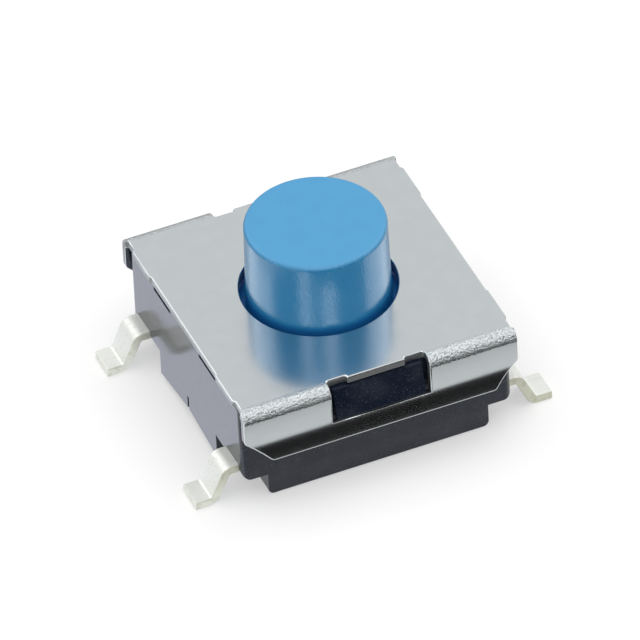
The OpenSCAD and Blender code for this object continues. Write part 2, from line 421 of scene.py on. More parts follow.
@dataclass(frozen=True)
class SatinPlastic(Finish):
    """Coloured moulding compound: polished side in a darker colour that is painted shade, a finely
    sparked top, painted shade at the stem's foot, and a few faint pale marks on the rim that are
    partly wear and partly painted highlight.
    """

    top_z: float = 4.02
    rim: float = 0.1
    # The side colour is darker and more saturated than the top's: painted shade on the side, which
    # the lamp above lights less than the top.
    side: str = "#2F8CC2"
    side_roughness: float = 0.16
    # Painted shade at the stem's foot: a darker blue below the cover plate's level, where the gap
    # round the stem lies in shade, blended in between the two heights below.
    painted_foot_shade: str = "#2276BC"
    painted_foot_shade_from: float = 2.62
    painted_foot_shade_to: float = 2.48
    cloud: float = 0.35
    cloud_detail: float = 3.0
    cloud_roughness: float = 0.05
    shade: str = "#3C92C8"
    shade_band: Band = (0.35, 0.75)
    shade_strength: float = 0.25
    spark: float = 0.03
    spark_depth: float = 0.0012
    wave: float = 0.05
    wave_depth: float = 0.006
    # A pale colour in speckled patches along the rim band: partly wear, partly painted highlight.
    rim_scuff_and_sheen: str = "#C4DDEC"
    rim_scuff_and_sheen_sparks: Band = (0.6, 0.7)
    rim_scuff_and_sheen_clouds: Band = (0.45, 0.6)
    rim_scuff_and_sheen_strength: float = 0.6

    def patterns(self, graph: Graph) -> Values:
        """Turns from the polished side, whose darker colour is painted shade, to the sparked top at
        the rim, with painted shade at the foot and a pale rim band that is partly wear and partly
        painted highlight.
        """
        place = graph.millimetres()
        height = graph.part(place, "Z")
        top = height.between(self.top_z, self.top_z + self.rim)
        below = height.between(self.top_z - self.rim, self.top_z)
        above = height.between(self.top_z + self.rim / 2, self.top_z + self.rim)
        spark = graph.noise(place, self.spark)
        wave = graph.noise(place, self.wave)
        cloud = graph.noise(place, self.cloud, self.cloud_detail)
        # Speckled pale patches along the rim band, partly wear and partly painted highlight.
        scuff_and_sheen_patches = spark.between(*self.rim_scuff_and_sheen_sparks) * cloud.between(*self.rim_scuff_and_sheen_clouds)
        scuff_and_sheen_share = below * (1 - above) * scuff_and_sheen_patches * self.rim_scuff_and_sheen_strength
        # Painted shade: the stem turns darker blue towards its foot, below the cover plate.
        foot = 1 - height.between(self.painted_foot_shade_to, self.painted_foot_shade_from)
        # The side colour and the darker blue at the foot are both painted shade on the stem.
        side_and_foot_painted_shade = graph.tint(foot, paint(self.side), paint(self.painted_foot_shade))
        shade = cloud.between(*self.shade_band) * self.shade_strength
        flat = graph.tint(shade, paint(self.colour), paint(self.shade))
        clean = graph.tint(top, side_and_foot_painted_shade, flat)
        satin = top * (self.roughness - self.side_roughness)
        bumps = top * spark * self.spark_depth + (1 - top) * wave * self.wave_depth
        return {
            "Base Color": graph.tint(scuff_and_sheen_share, clean, paint(self.rim_scuff_and_sheen)),
            "Roughness": self.side_roughness + satin + cloud * self.cloud_roughness,
            "Normal": graph.relief(bumps, 1.0),
        }


@dataclass(frozen=True)
class FilledPlastic(Finish):
    """Dark glass-filled compound: flow mottle, fine pale specks and light handling scratches."""

    pale: str = "#4A4E5A"
    flow: float = 0.45
    flow_detail: float = 4.0
    flow_band: Band = (0.4, 0.8)
    flow_strength: float = 0.3
    flow_roughness: float = 0.08
    flow_height: float = 0.6
    speck: float = 0.05
    speck_band: Band = (0.74, 0.84)
    speck_strength: float = 0.7
    scratch_width: float = 0.02
    scratch_length: float = 0.7
    scratch_turn: Place = (0.4, 0.7, 0.5)
    scratch_band: Band = (0.7, 0.76)
    mark_strength: float = 0.35
    mark_roughness: float = 0.2
    mark_height: float = 0.5
    depth: float = 0.0015

    def patterns(self, graph: Graph) -> Values:
        """Specks of glass, flow clouds and slanting scratches."""
        place = graph.millimetres()
        specks = graph.noise(place, self.speck).between(*self.speck_band)
        flow = graph.noise(place, self.flow, self.flow_detail)
        slanted = {"Vector": place, "Rotation": self.scratch_turn}
        turned = graph.add("ShaderNodeMapping", values=slanted)
        long, wide = 1 / self.scratch_length, 1 / self.scratch_width
        hairs = graph.noise(graph.stretched(turned, (long, wide, wide)), 1.0, 0.0)
        marks = (specks * self.speck_strength).most(hairs.between(*self.scratch_band))
        clouds = flow.between(*self.flow_band) * self.flow_strength
        pale = (marks * self.mark_strength + clouds).least(1.0)
        height = flow * self.flow_height - marks * self.mark_height
        gloss = self.roughness + flow * self.flow_roughness + marks * self.mark_roughness
        return {
            "Base Color": graph.tint(pale, paint(self.colour), paint(self.pale)),
            "Roughness": gloss,
            "Normal": graph.relief(height, self.depth),
        }


@dataclass(frozen=True)
class SpringSteel(Finish):
    """Thin hard steel with a silver wash."""

    mottle: float = 0.2
    mottle_depth: float = 0.0006
    mottle_roughness: float = 0.1

    def patterns(self, graph: Graph) -> Values:
        """A faint mottle in the gloss."""
        cloud = graph.noise(graph.millimetres(), self.mottle)
        return {
            "Base Color": paint(self.colour),
            "Roughness": self.roughness + cloud * self.mottle_roughness,
            "Normal": graph.relief(cloud, self.mottle_depth),
        }


STEEL = RolledSteel("plated_steel", "#DBE1E3", 0.17, metallic=1.0)
STEEL_EDGE = ShearedMetal("sheared_steel", "#BCBEBE", 0.3, metallic=1.0, torn_colour="#9DA0A1")
TIN = TinPlate("tin_plate", "#EEF0EB", 0.42, metallic=0.5)
BRASS_EDGE = ShearedMetal("sheared_brass", "#DCDDCB", 0.4, metallic=0.5, torn_colour="#C2C3AB")
BLUE = SatinPlastic("blue_compound", "#479DCE", 0.45, ior=1.55)
SLATE = FilledPlastic("slate_compound", "#182131", 0.11, ior=1.5)
SPRING = SpringSteel("spring_steel", "#C9CBCB", 0.2, metallic=1.0)


# Meshes


def link(name: str, mesh: bpy.types.Mesh) -> bpy.types.Object:
    """Puts a mesh into the scene as an object at the origin."""
    piece = bpy.data.objects.new(name, mesh)
    bpy.context.scene.collection.objects.link(piece)
    return piece


def settled(piece: bpy.types.Object) -> bpy.types.Object:
    """Turns what the piece's modifiers make into its plain mesh, and removes them."""
    depsgraph = bpy.context.evaluated_depsgraph_get()
    mesh = bpy.data.meshes.new_from_object(
        piece.evaluated_get(depsgraph), preserve_all_data_layers=True, depsgraph=depsgraph
    )
    piece.modifiers.clear()
    piece.data = mesh
    mesh.name = piece.name
    return piece


@contextmanager
def edited(mesh: bpy.types.Mesh) -> Iterator[bmesh.types.BMesh]:
    """Opens a mesh for editing, and writes it back afterwards."""
    work = bmesh.new()
    work.from_mesh(mesh)
    yield work
    work.to_mesh(mesh)
    work.free()


def run_tree(
    piece: bpy.types.Object, tree: bpy.types.NodeTree, values: dict[str, object]
) -> bpy.types.Object:
    """Runs a geometry tree on a piece.

    Args:
        piece: The piece, whose mesh goes into the tree.
        tree: The geometry tree.
        values: The tree's inputs by name; lengths are in metres.

    Returns:
        The piece, with the result as its plain mesh.
    """
    modifier = piece.modifiers.new(tree.name, "NODES")
    modifier.node_group = tree
    for item in tree.interface.items_tree:
        if item.in_out == "INPUT" and item.name in values:
            modifier[item.identifier] = values[item.name]
    return settled(piece)


def line_mesh(name: str, points: list[Place]) -> bpy.types.Mesh:
    """An open line through points that are given in millimetres."""
    mesh = bpy.data.meshes.new(name)
    edges = [(i, i + 1) for i in range(len(points) - 1)]
    mesh.from_pydata([Vector(p) * MM for p in points], edges, [])
    return mesh


def arc(centre: Point, radius: float, start: float, end: float, steps: int) -> list[Point]:
    """Points on an arc of a circle from the start angle to the end angle, in degrees."""
    angles = [math.radians(start + (end - start) * i / steps) for i in range(steps + 1)]
    return [(centre[0] + radius * math.cos(a), centre[1] + radius * math.sin(a)) for a in angles]


def fillet(before: Point, corner: Point, after: Point, radius: float, steps: int) -> list[Point]:
    """Points on the arc that rounds one corner of a line.

    Args:
        before: The point before the corner.
        corner: The corner.
        after: The point after it.
        radius: The radius of the arc.
        steps: The number of straight steps in it.

    Returns:
        The points from the side of before to the side of after.
    """
    towards = (Vector(before) - Vector(corner)).normalized()
    away = (Vector(after) - Vector(corner)).normalized()
    half = towards.angle(away) / 2
    centre = Vector(corner) + (towards + away).normalized() * radius / math.sin(half)
    spoke = Vector(corner) + towards * radius / math.tan(half) - centre
    start = math.degrees(math.atan2(spoke.y, spoke.x))
    turn = math.copysign(180 - 2 * math.degrees(half), away.cross(towards))
    return arc((centre.x, centre.y), radius, start, start + turn, steps)


def soften(
    piece: bpy.types.Object,
    width: float,
    angle: float | None,
    segments: int = 3,
    material: int = -1,
) -> None:
    """Rounds the sharp edges of a piece and evens out its shading.

    Args:
        piece: The piece.
        width: The width of the rounding, in millimetres.
        angle: The least turn, in degrees, at which an edge is rounded, or None where the mesh
            weighs its edges.
        segments: The number of faces across a rounded edge.
        material: The slot of the rounding's material, or -1 for that of the faces beside it.
    """
    bevel = piece.modifiers.new("edges", "BEVEL")
    bevel.width = width * MM
    bevel.segments = segments
    bevel.material = material
    bevel.use_clamp_overlap = angle is not None
    if angle is None:
        bevel.limit_method = "WEIGHT"
    else:
        bevel.limit_method = "ANGLE"
        bevel.angle_limit = math.radians(angle)
    settled(piece)
    shade(piece.data)


def shade(mesh: bpy.types.Mesh) -> None:
    """Shades a mesh smoothly, with each normal weighted by the areas of the faces round it."""
    sums = [Vector() for _ in mesh.vertices]
    for polygon in mesh.polygons:
        polygon.use_smooth = True
        for vertex in polygon.vertices:
            sums[vertex] += polygon.normal * polygon.area
    mesh.normals_split_custom_set_from_vertices([total.normalized() for total in sums])


def hand_over(piece: bpy.types.Object, node: str, body: Body, slot: Slot) -> None:
    """Lets a finished piece stand for a CAD node, on its body."""
    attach(piece, body.value)
    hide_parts(node)
    log.info("%s stands for %s, with %d faces", piece.name, node, len(piece.data.polygons))


def geometry_tree(
    name: str, numbers: list[str], materials: list[str]
) -> tuple[Graph, dict[str, Signal]]:
    """Starts a geometry tree.

    Args:
        name: The tree's name.
        numbers: The names of its number inputs.
        materials: The names of its material inputs.

    Returns:
        The graph, and its inputs by name, the geometry among them as "Geometry".
    """
    tree = bpy.data.node_groups.new(name, "GeometryNodeTree")
    kinds = {"Geometry": "NodeSocketGeometry"}
    kinds |= {number: "NodeSocketFloat" for number in numbers}
    kinds |= {material: "NodeSocketMaterial" for material in materials}
    for label, kind in kinds.items():
        tree.interface.new_socket(label, in_out="INPUT", socket_type=kind)
    tree.interface.new_socket("Geometry", in_out="OUTPUT", socket_type="NodeSocketGeometry")
    graph = Graph(tree)
    inlet = graph.add("NodeGroupInput")
    return graph, {label: inlet.of(label) for label in kinds}


def dressed(graph: Graph, geometry: Signal, material: Signal) -> Signal:
    """Realizes what a tree made and gives it its material."""
    whole = graph.add("GeometryNodeRealizeInstances", values={"Geometry": geometry})
    return graph.add("GeometryNodeSetMaterial", values={"Geometry": whole, "Material": material})


# Cover


@dataclass(frozen=True)
class FoldedCover:
    """The steel cover: a flat blank, folded at both ends into flaps with flared strips."""

    top: float
    sheet: float = 0.16
    middle_width: float = 5.86
    width: float = 5.92
    depth: float = 6.2
    fold_radius: float = 0.25
    hole: float = 3.19
    band_from: float = 1.64
    relief_from: float = 2.53
    relief_to: float = 2.93
    relief: float = 0.05
    flare_drop: float = 0.76
    flare_radius: float = 0.94
    flare_turn: float = 30.0
    corner_drop: float = 0.73
    corner_width: float = 0.54
    corner_radius: float = 0.12
    window: float = 2.12
    window_drop: float = 0.87
    tongue: float = 1.26
    tongue_back: float = 0.23
    tongue_radius: float = 0.03
    ear: float = 0.05
    ear_radius: float = 0.06
    rollover: float = 0.034
    burr: float = 0.3
    side_burr: float = 0.65
    sill_burr: float = 0.1
    strain_lead: float = 0.04
    strain_power: int = 3
    strain_steps: int = 3
    hole_steps: int = 128
    fold_steps: int = 24
    flare_steps: int = 16
    corner_steps: int = 6

    @property
    def fold_start(self) -> float:
        """Distance from the middle at which a fold begins."""
        return self.depth / 2 - self.fold_radius

    @property
    def fold_end(self) -> float:
        """Distance along the blank at which a fold ends."""
        return self.fold_start + self.fold_radius * QUARTER_TURN

    @property
    def straight(self) -> float:
        """Height of a flap's flat part."""
        return self.flare_drop - self.fold_radius

    @property
    def flare_start(self) -> float:
        """Distance along the blank at which a strip begins to flare."""
        return self.fold_end + self.straight

    @property
    def blank_end(self) -> float:
        """Half the length of the blank."""
        return self.flare_start + self.flare_radius * math.radians(self.flare_turn)

    @property
    def tongue_end(self) -> float:
        """Distance along the blank of the tongue's straight edge."""
        return self.depth / 2 - self.tongue_back

    def along_at_reach(self, reach: float) -> float:
        """Distance along the blank of the fold's point that lies that far from the middle."""
        past = (reach - self.fold_start) / self.fold_radius
        if past <= 0:
            return reach
        return self.fold_start + self.fold_radius * math.asin(min(past, 1.0))

    def along_at_drop(self, drop: float) -> float:
        """Distance along the blank of the flap's point that lies that far below the top."""
        if drop <= self.flare_drop:
            return self.fold_end + drop - self.fold_radius
        farthest = math.sin(math.radians(self.flare_turn))
        turn = min((drop - self.flare_drop) / self.flare_radius, farthest)
        return self.flare_start + self.flare_radius * math.asin(turn)

    def corner_line(self) -> list[Point]:
        """A flap's cut corner in the blank, rounded at both ends, from the side to the lip."""
        half = self.width / 2
        lip = self.flare_drop + self.flare_radius * math.sin(math.radians(self.flare_turn))
        upper, lower = (half, self.corner_drop), (half - self.corner_width, lip)
        first = fillet((half, 0.0), upper, lower, self.corner_radius, self.corner_steps)
        last = fillet(upper, lower, (0.0, lip), self.corner_radius, self.corner_steps)
        start, steps = Vector(first[-1]), self.flare_steps
        slope = [tuple(start.lerp(last[0], i / steps)) for i in range(1, steps)]
        line = [*first, *slope, *last]
        return [(x, self.along_at_drop(drop)) for x, drop in line]

    def edge_quarter(self) -> list[Point]:
        """The blank's outline from the middle of its side to the middle of its end."""
        side, half = self.middle_width / 2, self.width / 2
        step = half - side
        relief = [
            (half, self.relief_from),
            (half - self.relief, self.relief_from + self.relief),
            (half - self.relief, self.along_at_reach(self.relief_to - self.relief)),
            (half, self.along_at_reach(self.relief_to)),
        ]
        band = [(side, 0.0), (side, self.band_from), (half, self.band_from + step)]
        return [*band, *relief, *self.corner_line()]

    def outline(self) -> list[Point]:
        """The whole outline of the blank, counter-clockwise."""
        quarter = self.edge_quarter()
        upper = quarter + [(-x, y) for x, y in reversed(quarter)]
        lower = [(-x, -y) for x, y in upper[1:-1]]
        return upper + lower

    def window_loop(self) -> list[Point]:
        """The window's outline in the blank at the +Y end, with the tongue and its ears."""
        half, tongue = self.window / 2, self.tongue / 2
        ear_y = self.fold_start - self.ear
        sill = self.along_at_drop(self.window_drop)
        low, outer, inner = (half, sill), (half, ear_y), (tongue, ear_y)
        tip, middle = (tongue, self.tongue_end), (0.0, self.tongue_end)
        right = [
            low,
            *fillet(low, outer, inner, self.ear_radius, self.corner_steps),
            *fillet(outer, inner, tip, self.tongue_radius, self.corner_steps),
            *fillet(inner, tip, middle, self.tongue_radius, self.corner_steps),
        ]
        return right + [(-x, y) for x, y in reversed(right)]

    def fold_lines(self) -> list[float]:
        """Distances along the blank of the lines on which the folded sheet stretches or turns."""
        start, turned = self.fold_start, self.fold_end - self.fold_start
        flared = self.blank_end - self.flare_start
        shares = [1 - i / self.strain_steps for i in range(self.strain_steps)]
        lead = [start - self.strain_lead * share for share in shares]
        fold = [start + turned * i / self.fold_steps for i in range(self.fold_steps + 1)]
        steps = self.flare_steps
        return lead + fold + [self.flare_start + flared * i / steps for i in range(steps)]

    def turn_at(self, along: float) -> float:
        """How far the sheet has turned at that distance along the blank, in radians."""
        fold = min(max(along - self.fold_start, 0.0) / self.fold_radius, QUARTER_TURN)
        return fold - max(along - self.flare_start, 0.0) / self.flare_radius

    def is_tongue(self, x: float, y: float) -> bool:
        """Whether a place on the blank belongs to a tongue, which stays flat between its ears."""
        return abs(x) < self.window / 2 and abs(y) < self.tongue_end + self.rollover

    def blank(self) -> bpy.types.Mesh:
        """Cuts the flat blank.

        Returns:
            A mesh in the XY plane, in metres: one face in each quarter of the blank.
        """
        sheet = bmesh.new()
        window = self.window_loop()
        hole = arc((0.0, 0.0), self.hole / 2, 0, 360, self.hole_steps)[:-1]
        for loop in (self.outline(), hole, window, [(-x, -y) for x, y in window]):
            corners = [sheet.verts.new((x, y, 0.0)) for x, y in loop]
            for i, corner in enumerate(corners):
                sheet.edges.new((corner, corners[(i + 1) % len(corners)]))
        bmesh.ops.triangle_fill(sheet, use_beauty=True, normal=(0, 0, 1), edges=sheet.edges[:])
        self._cut(sheet, [((0, 0, 0), (0, 1, 0)), ((0, 0, 0), (1, 0, 0))])
        centre_lines = [
            {vert for vert in sheet.verts if abs(vert.co[axis]) < SAME_POINT} for axis in (0, 1)
        ]
        joined = [
            edge
            for edge in sheet.edges
            if not any(line.issuperset(edge.verts) for line in centre_lines)
        ]
        flat = math.radians(FLAT_TURN)
        bmesh.ops.dissolve_limit(sheet, angle_limit=flat, verts=[], edges=joined)
        for face in sheet.faces:
            if face.normal.z < 0:
                face.normal_flip()
        bmesh.ops.scale(sheet, vec=(MM, MM, MM), verts=sheet.verts)
        mesh = bpy.data.meshes.new("cover_blank")
        sheet.to_mesh(mesh)
        sheet.free()
        return mesh

    @staticmethod
    def _cut(sheet: bmesh.types.BMesh, planes: list[tuple[Place, Place]]) -> None:
        """Splits a mesh along planes, each a place and a normal."""
        for place, normal in planes:
            everything = sheet.verts[:] + sheet.edges[:] + sheet.faces[:]
            bmesh.ops.bisect_plane(
                sheet, geom=everything, dist=SAME_POINT, plane_co=place, plane_no=normal
            )

    def _thicken(
        self, cover: bpy.types.Object, rolled: bpy.types.Material, sheared: bpy.types.Material
    ) -> None:
        """Gives the blank its thickness, and the rolled edge that the punch leaves outside.

        Args:
            cover: The flat blank.
            rolled: The material of its skin.
            sheared: The material of its cut edges.
        """
        for material in (rolled, sheared, rolled):
            cover.data.materials.append(material)
        wall = cover.modifiers.new("wall", "SOLIDIFY")
        wall.thickness = self.sheet * MM
        wall.offset = -1.0
        wall.material_offset_rim = SheetSide.CUT
        wall.material_offset = SheetSide.INNER
        settled(cover)
        outer_edge = frozenset((SheetSide.SKIN, SheetSide.CUT))
        inner_edge = frozenset((SheetSide.INNER, SheetSide.CUT))
        weights = {outer_edge: 1.0, inner_edge: self.burr}
        sill = self.along_at_drop(self.window_drop) * MM
        side = (self.middle_width / 2 - self.relief) * MM
        with edited(cover.data) as sheet:
            weight = sheet.edges.layers.float.new("bevel_weight_edge")
            for edge in sheet.edges:
                beside = frozenset(face.material_index for face in edge.link_faces)
                edge[weight] = weights.get(beside, 0.0)
                if all(abs(abs(vert.co.y) - sill) < SAME_POINT for vert in edge.verts):
                    edge[weight] *= self.sill_burr
                elif all(abs(vert.co.x) > side for vert in edge.verts):
                    edge[weight] *= self.side_burr
        soften(cover, self.rollover, None, material=SheetSide.SKIN)

    def _strain_at(self, along: float) -> float:
        """How far the skin is stretched at that distance along the blank, from 0 to 1."""
        middle = (self.fold_start - self.strain_lead + self.fold_end) / 2
        away = abs((along - middle) / (self.fold_end - middle))
        return max(0.0, 1.0 - away**self.strain_power)

    def _mark(self, cover: bpy.types.Object) -> None:
        """Splits the flat sheet along its fold lines, and notes what it needs once folded."""
        kept = cover.data.attributes.new("flat_normal", "FLOAT_VECTOR", "CORNER")
        normals = [value for corner in cover.data.corner_normals for value in corner.vector]
        kept.data.foreach_set("vector", normals)
        lines = [y * MM for line in self.fold_lines() for y in (line, -line)]
        sill = self.along_at_drop(self.window_drop)
        with edited(cover.data) as sheet:
            self._cut(sheet, [((0, y, 0), (0, 1, 0)) for y in lines])
            bmesh.ops.dissolve_degenerate(sheet, dist=SAME_POINT, edges=sheet.edges)
            loose = [edge for edge in sheet.edges if not edge.link_faces]
            bmesh.ops.delete(sheet, geom=loose, context="EDGES")
            places = sheet.loops.layers.uv.new("blank")
            strain = sheet.verts.layers.float.new("strain")
            kept_flat = sheet.verts.layers.float.new("kept_flat")
            depth = sheet.verts.layers.float.new("sheet_depth")
            cut_face = sheet.faces.layers.float.new("cut_face")
            for face in sheet.faces:
                face[cut_face] = float(face.material_index == SheetSide.CUT)
            for vert in sheet.verts:
                x, y = vert.co.x / MM, vert.co.y / MM
                beside_window = abs(x) < self.window / 2 + self.rollover
                at_sill = beside_window and abs(abs(y) - sill) < self.rollover
                vert[kept_flat] = float(self.is_tongue(x, y))
                vert[depth] = 1.0 if at_sill else -vert.co.z / MM / self.sheet
                vert[strain] = (1.0 - vert[kept_flat]) * self._strain_at(abs(y))
                for loop in vert.link_loops:
                    loop[places].uv = (x, y)

    @staticmethod
    def folding_tree() -> bpy.types.NodeTree:
        """The geometry tree that folds the sheet and flares the ends of its flaps.

        Returns:
            The tree, whose inputs are the fold's sizes and the sheet's two materials.
        """
        numbers = ["Top", "Fold start", "Fold radius", "Straight", "Flare radius"]
        graph, given = geometry_tree("cover_folding", numbers, ["Skin", "Cut edge"])
        place = graph.add("GeometryNodeInputPosition")
        x = graph.part(place, "X")
        y, depth = x.of("Y"), x.of("Z")
        number = {"data_type": "FLOAT"}
        flat = graph.add("GeometryNodeInputNamedAttribute", number, {"Name": "kept_flat"})
        cut = graph.add("GeometryNodeInputNamedAttribute", number, {"Name": "cut_face"})
        top, start, radius = given["Top"], given["Fold start"], given["Fold radius"]
        straight, flare_radius = given["Straight"], given["Flare radius"]
        along = y.size()
        past = along - start
        quarter = radius * QUARTER_TURN
        turn = past.most(0.0).least(quarter) / radius
        drop = (past - quarter).most(0.0).least(straight)
        flare = (past - quarter - straight).most(0.0) / flare_radius
        total = turn - flare
        reach = along.least(start) + radius * turn.sine() + flare_radius * (1 - flare.cosine())
        height = top - radius * (1 - turn.cosine()) - drop - flare_radius * flare.sine()
        folded_y = y.side() * (reach + depth * total.sine())
        folded_z = height + depth * total.cosine()
        folded = graph.add("ShaderNodeCombineXYZ", values={"X": x, "Y": folded_y, "Z": folded_z})
        level = graph.add("ShaderNodeCombineXYZ", values={"X": x, "Y": y, "Z": top + depth})
        chosen = {"Switch": flat, "False": folded, "True": level}
        placed = graph.add("GeometryNodeSwitch", {"input_type": "VECTOR"}, chosen)
        moved = {"Geometry": given["Geometry"], "Position": placed}
        bent = graph.add("GeometryNodeSetPosition", values=moved)
        skinned = dressed(graph, bent, given["Skin"])
        bare = {"Geometry": skinned, "Selection": cut > FLAG_SET, "Material": given["Cut edge"]}
        bared = graph.add("GeometryNodeSetMaterial", values=bare)
        graph.add("NodeGroupOutput", values={"Geometry": bared})
        return graph.tree

    def _turn_normals(self, mesh: bpy.types.Mesh) -> None:
        """Turns the flat sheet's normals with the folds."""
        flat = mesh.attributes["flat_normal"].data
        places = mesh.uv_layers["blank"].data
        normals = []
        for normal, place in zip(flat, places):
            x, y = place.uv
            turn = 0.0 if self.is_tongue(x, y) else math.copysign(self.turn_at(abs(y)), -y)
            normals.append(Matrix.Rotation(turn, 3, "X") @ normal.vector)
        mesh.normals_split_custom_set(normals)
        mesh.attributes.remove(mesh.attributes["flat_normal"])

    def build(self) -> bpy.types.Object:
        """Cuts, thickens and folds the cover.

        Returns:
            The piece, dressed and handed over.
        """
        cover = link("folded_cover", self.blank())
        rolled, sheared = STEEL.material(), STEEL_EDGE.material()
        self._thicken(cover, rolled, sheared)
        self._mark(cover)
        values = {
            "Top": self.top * MM,
            "Fold start": self.fold_start * MM,
            "Fold radius": self.fold_radius * MM,
            "Straight": self.straight * MM,
            "Flare radius": self.flare_radius * MM,
            "Skin": rolled,
            "Cut edge": sheared,
        }
        run_tree(cover, self.folding_tree(), values)
        self._turn_normals(cover.data)
        hand_over(cover, "cover", Body.HOUSING, Slot.COVER)
        return cover


# Button


@dataclass(frozen=True)
class PushButton:
    """The turned blue button: a rounded rim, a hidden flange and the nub that presses the dome."""

    top: float
    foot: float
    flange_top: float = 2.30
    flange: float = 0.5
    flange_radius: float = 2.2
    groove: float = 0.25
    groove_radius: float = 1.68
    radius: float = 1.44
    taper: float = 0.03
    rim: float = 0.1
    nub_radius: float = 0.6
    rim_steps: int = 10
    sides: int = 160
    edge_radius: float = 0.025
    edge_turn: float = 40.0
    edge_steps: int = 2

    def profile(self) -> list[Place]:
        """Half the button's section, from its top centre to its nub's centre."""
        rim = arc((self.radius - self.rim, self.top - self.rim), self.rim, 90, 0, self.rim_steps)
        flange_under = self.flange_top - self.flange
        lower = [
            (self.radius + self.taper, self.flange_top),
            (self.radius + self.taper, self.flange_top - self.groove),
            (self.groove_radius, self.flange_top - self.groove),
            (self.groove_radius, self.flange_top),
            (self.flange_radius, self.flange_top),
            (self.flange_radius, flange_under),
            (self.nub_radius, flange_under),
            (self.nub_radius, self.foot),
            (0.0, self.foot),
        ]
        return [(r, z, 0.0) for r, z in [(0.0, self.top), *rim, *lower]]

    @staticmethod
    def turning_tree() -> bpy.types.NodeTree:
        """The geometry tree that turns a profile round the Z axis.

        Returns:
            The tree, whose inputs are the circle's radius and sides and the material.
        """
        graph, given = geometry_tree("turning", ["Turning radius", "Sides"], ["Compound"])
        radius = given["Turning radius"]
        back = graph.add("ShaderNodeCombineXYZ", values={"X": 0 - radius})
        moved = {"Geometry": given["Geometry"], "Translation": back}
        shifted = graph.add("GeometryNodeTransform", values=moved)
        section = graph.add("GeometryNodeMeshToCurve", values={"Mesh": shifted})
        ring = {"Resolution": given["Sides"], "Radius": radius}
        circle = graph.add("GeometryNodeCurvePrimitiveCircle", values=ring)
        drawn = {"Curve": circle, "Profile Curve": section}
        turned = graph.add("GeometryNodeCurveToMesh", values=drawn)
        flipped = {"Geometry": turned, "Rotation": (2 * QUARTER_TURN, 0, 0)}
        upright = graph.add("GeometryNodeTransform", values=flipped)
        merged = {"Geometry": upright, "Distance": SAME_POINT}
        closed = graph.add("GeometryNodeMergeByDistance", values=merged)
        whole = dressed(graph, closed, given["Compound"])
        graph.add("NodeGroupOutput", values={"Geometry": whole})
        return graph.tree

    def build(self) -> bpy.types.Object:
        """Turns the button and softens its edges.

        Returns:
            The piece, dressed and handed over.
        """
        values = {
            "Turning radius": self.radius * MM,
            "Sides": self.sides,
            "Compound": BLUE.material(),
        }
        section = line_mesh("button_section", self.profile())
        button = run_tree(link("blue_button", section), self.turning_tree(), values)
        with edited(button.data) as mesh:
            bmesh.ops.recalc_face_normals(mesh, faces=mesh.faces)
        soften(button, self.edge_radius, self.edge_turn, self.edge_steps)
        hand_over(button, "button", Body.BUTTON, Slot.BUTTON)
        return button


# Contact strips


@dataclass(frozen=True)
class Bar:
    """A flat arm of a contact strip, as its two corners in plan."""

    low: Point
    high: Point


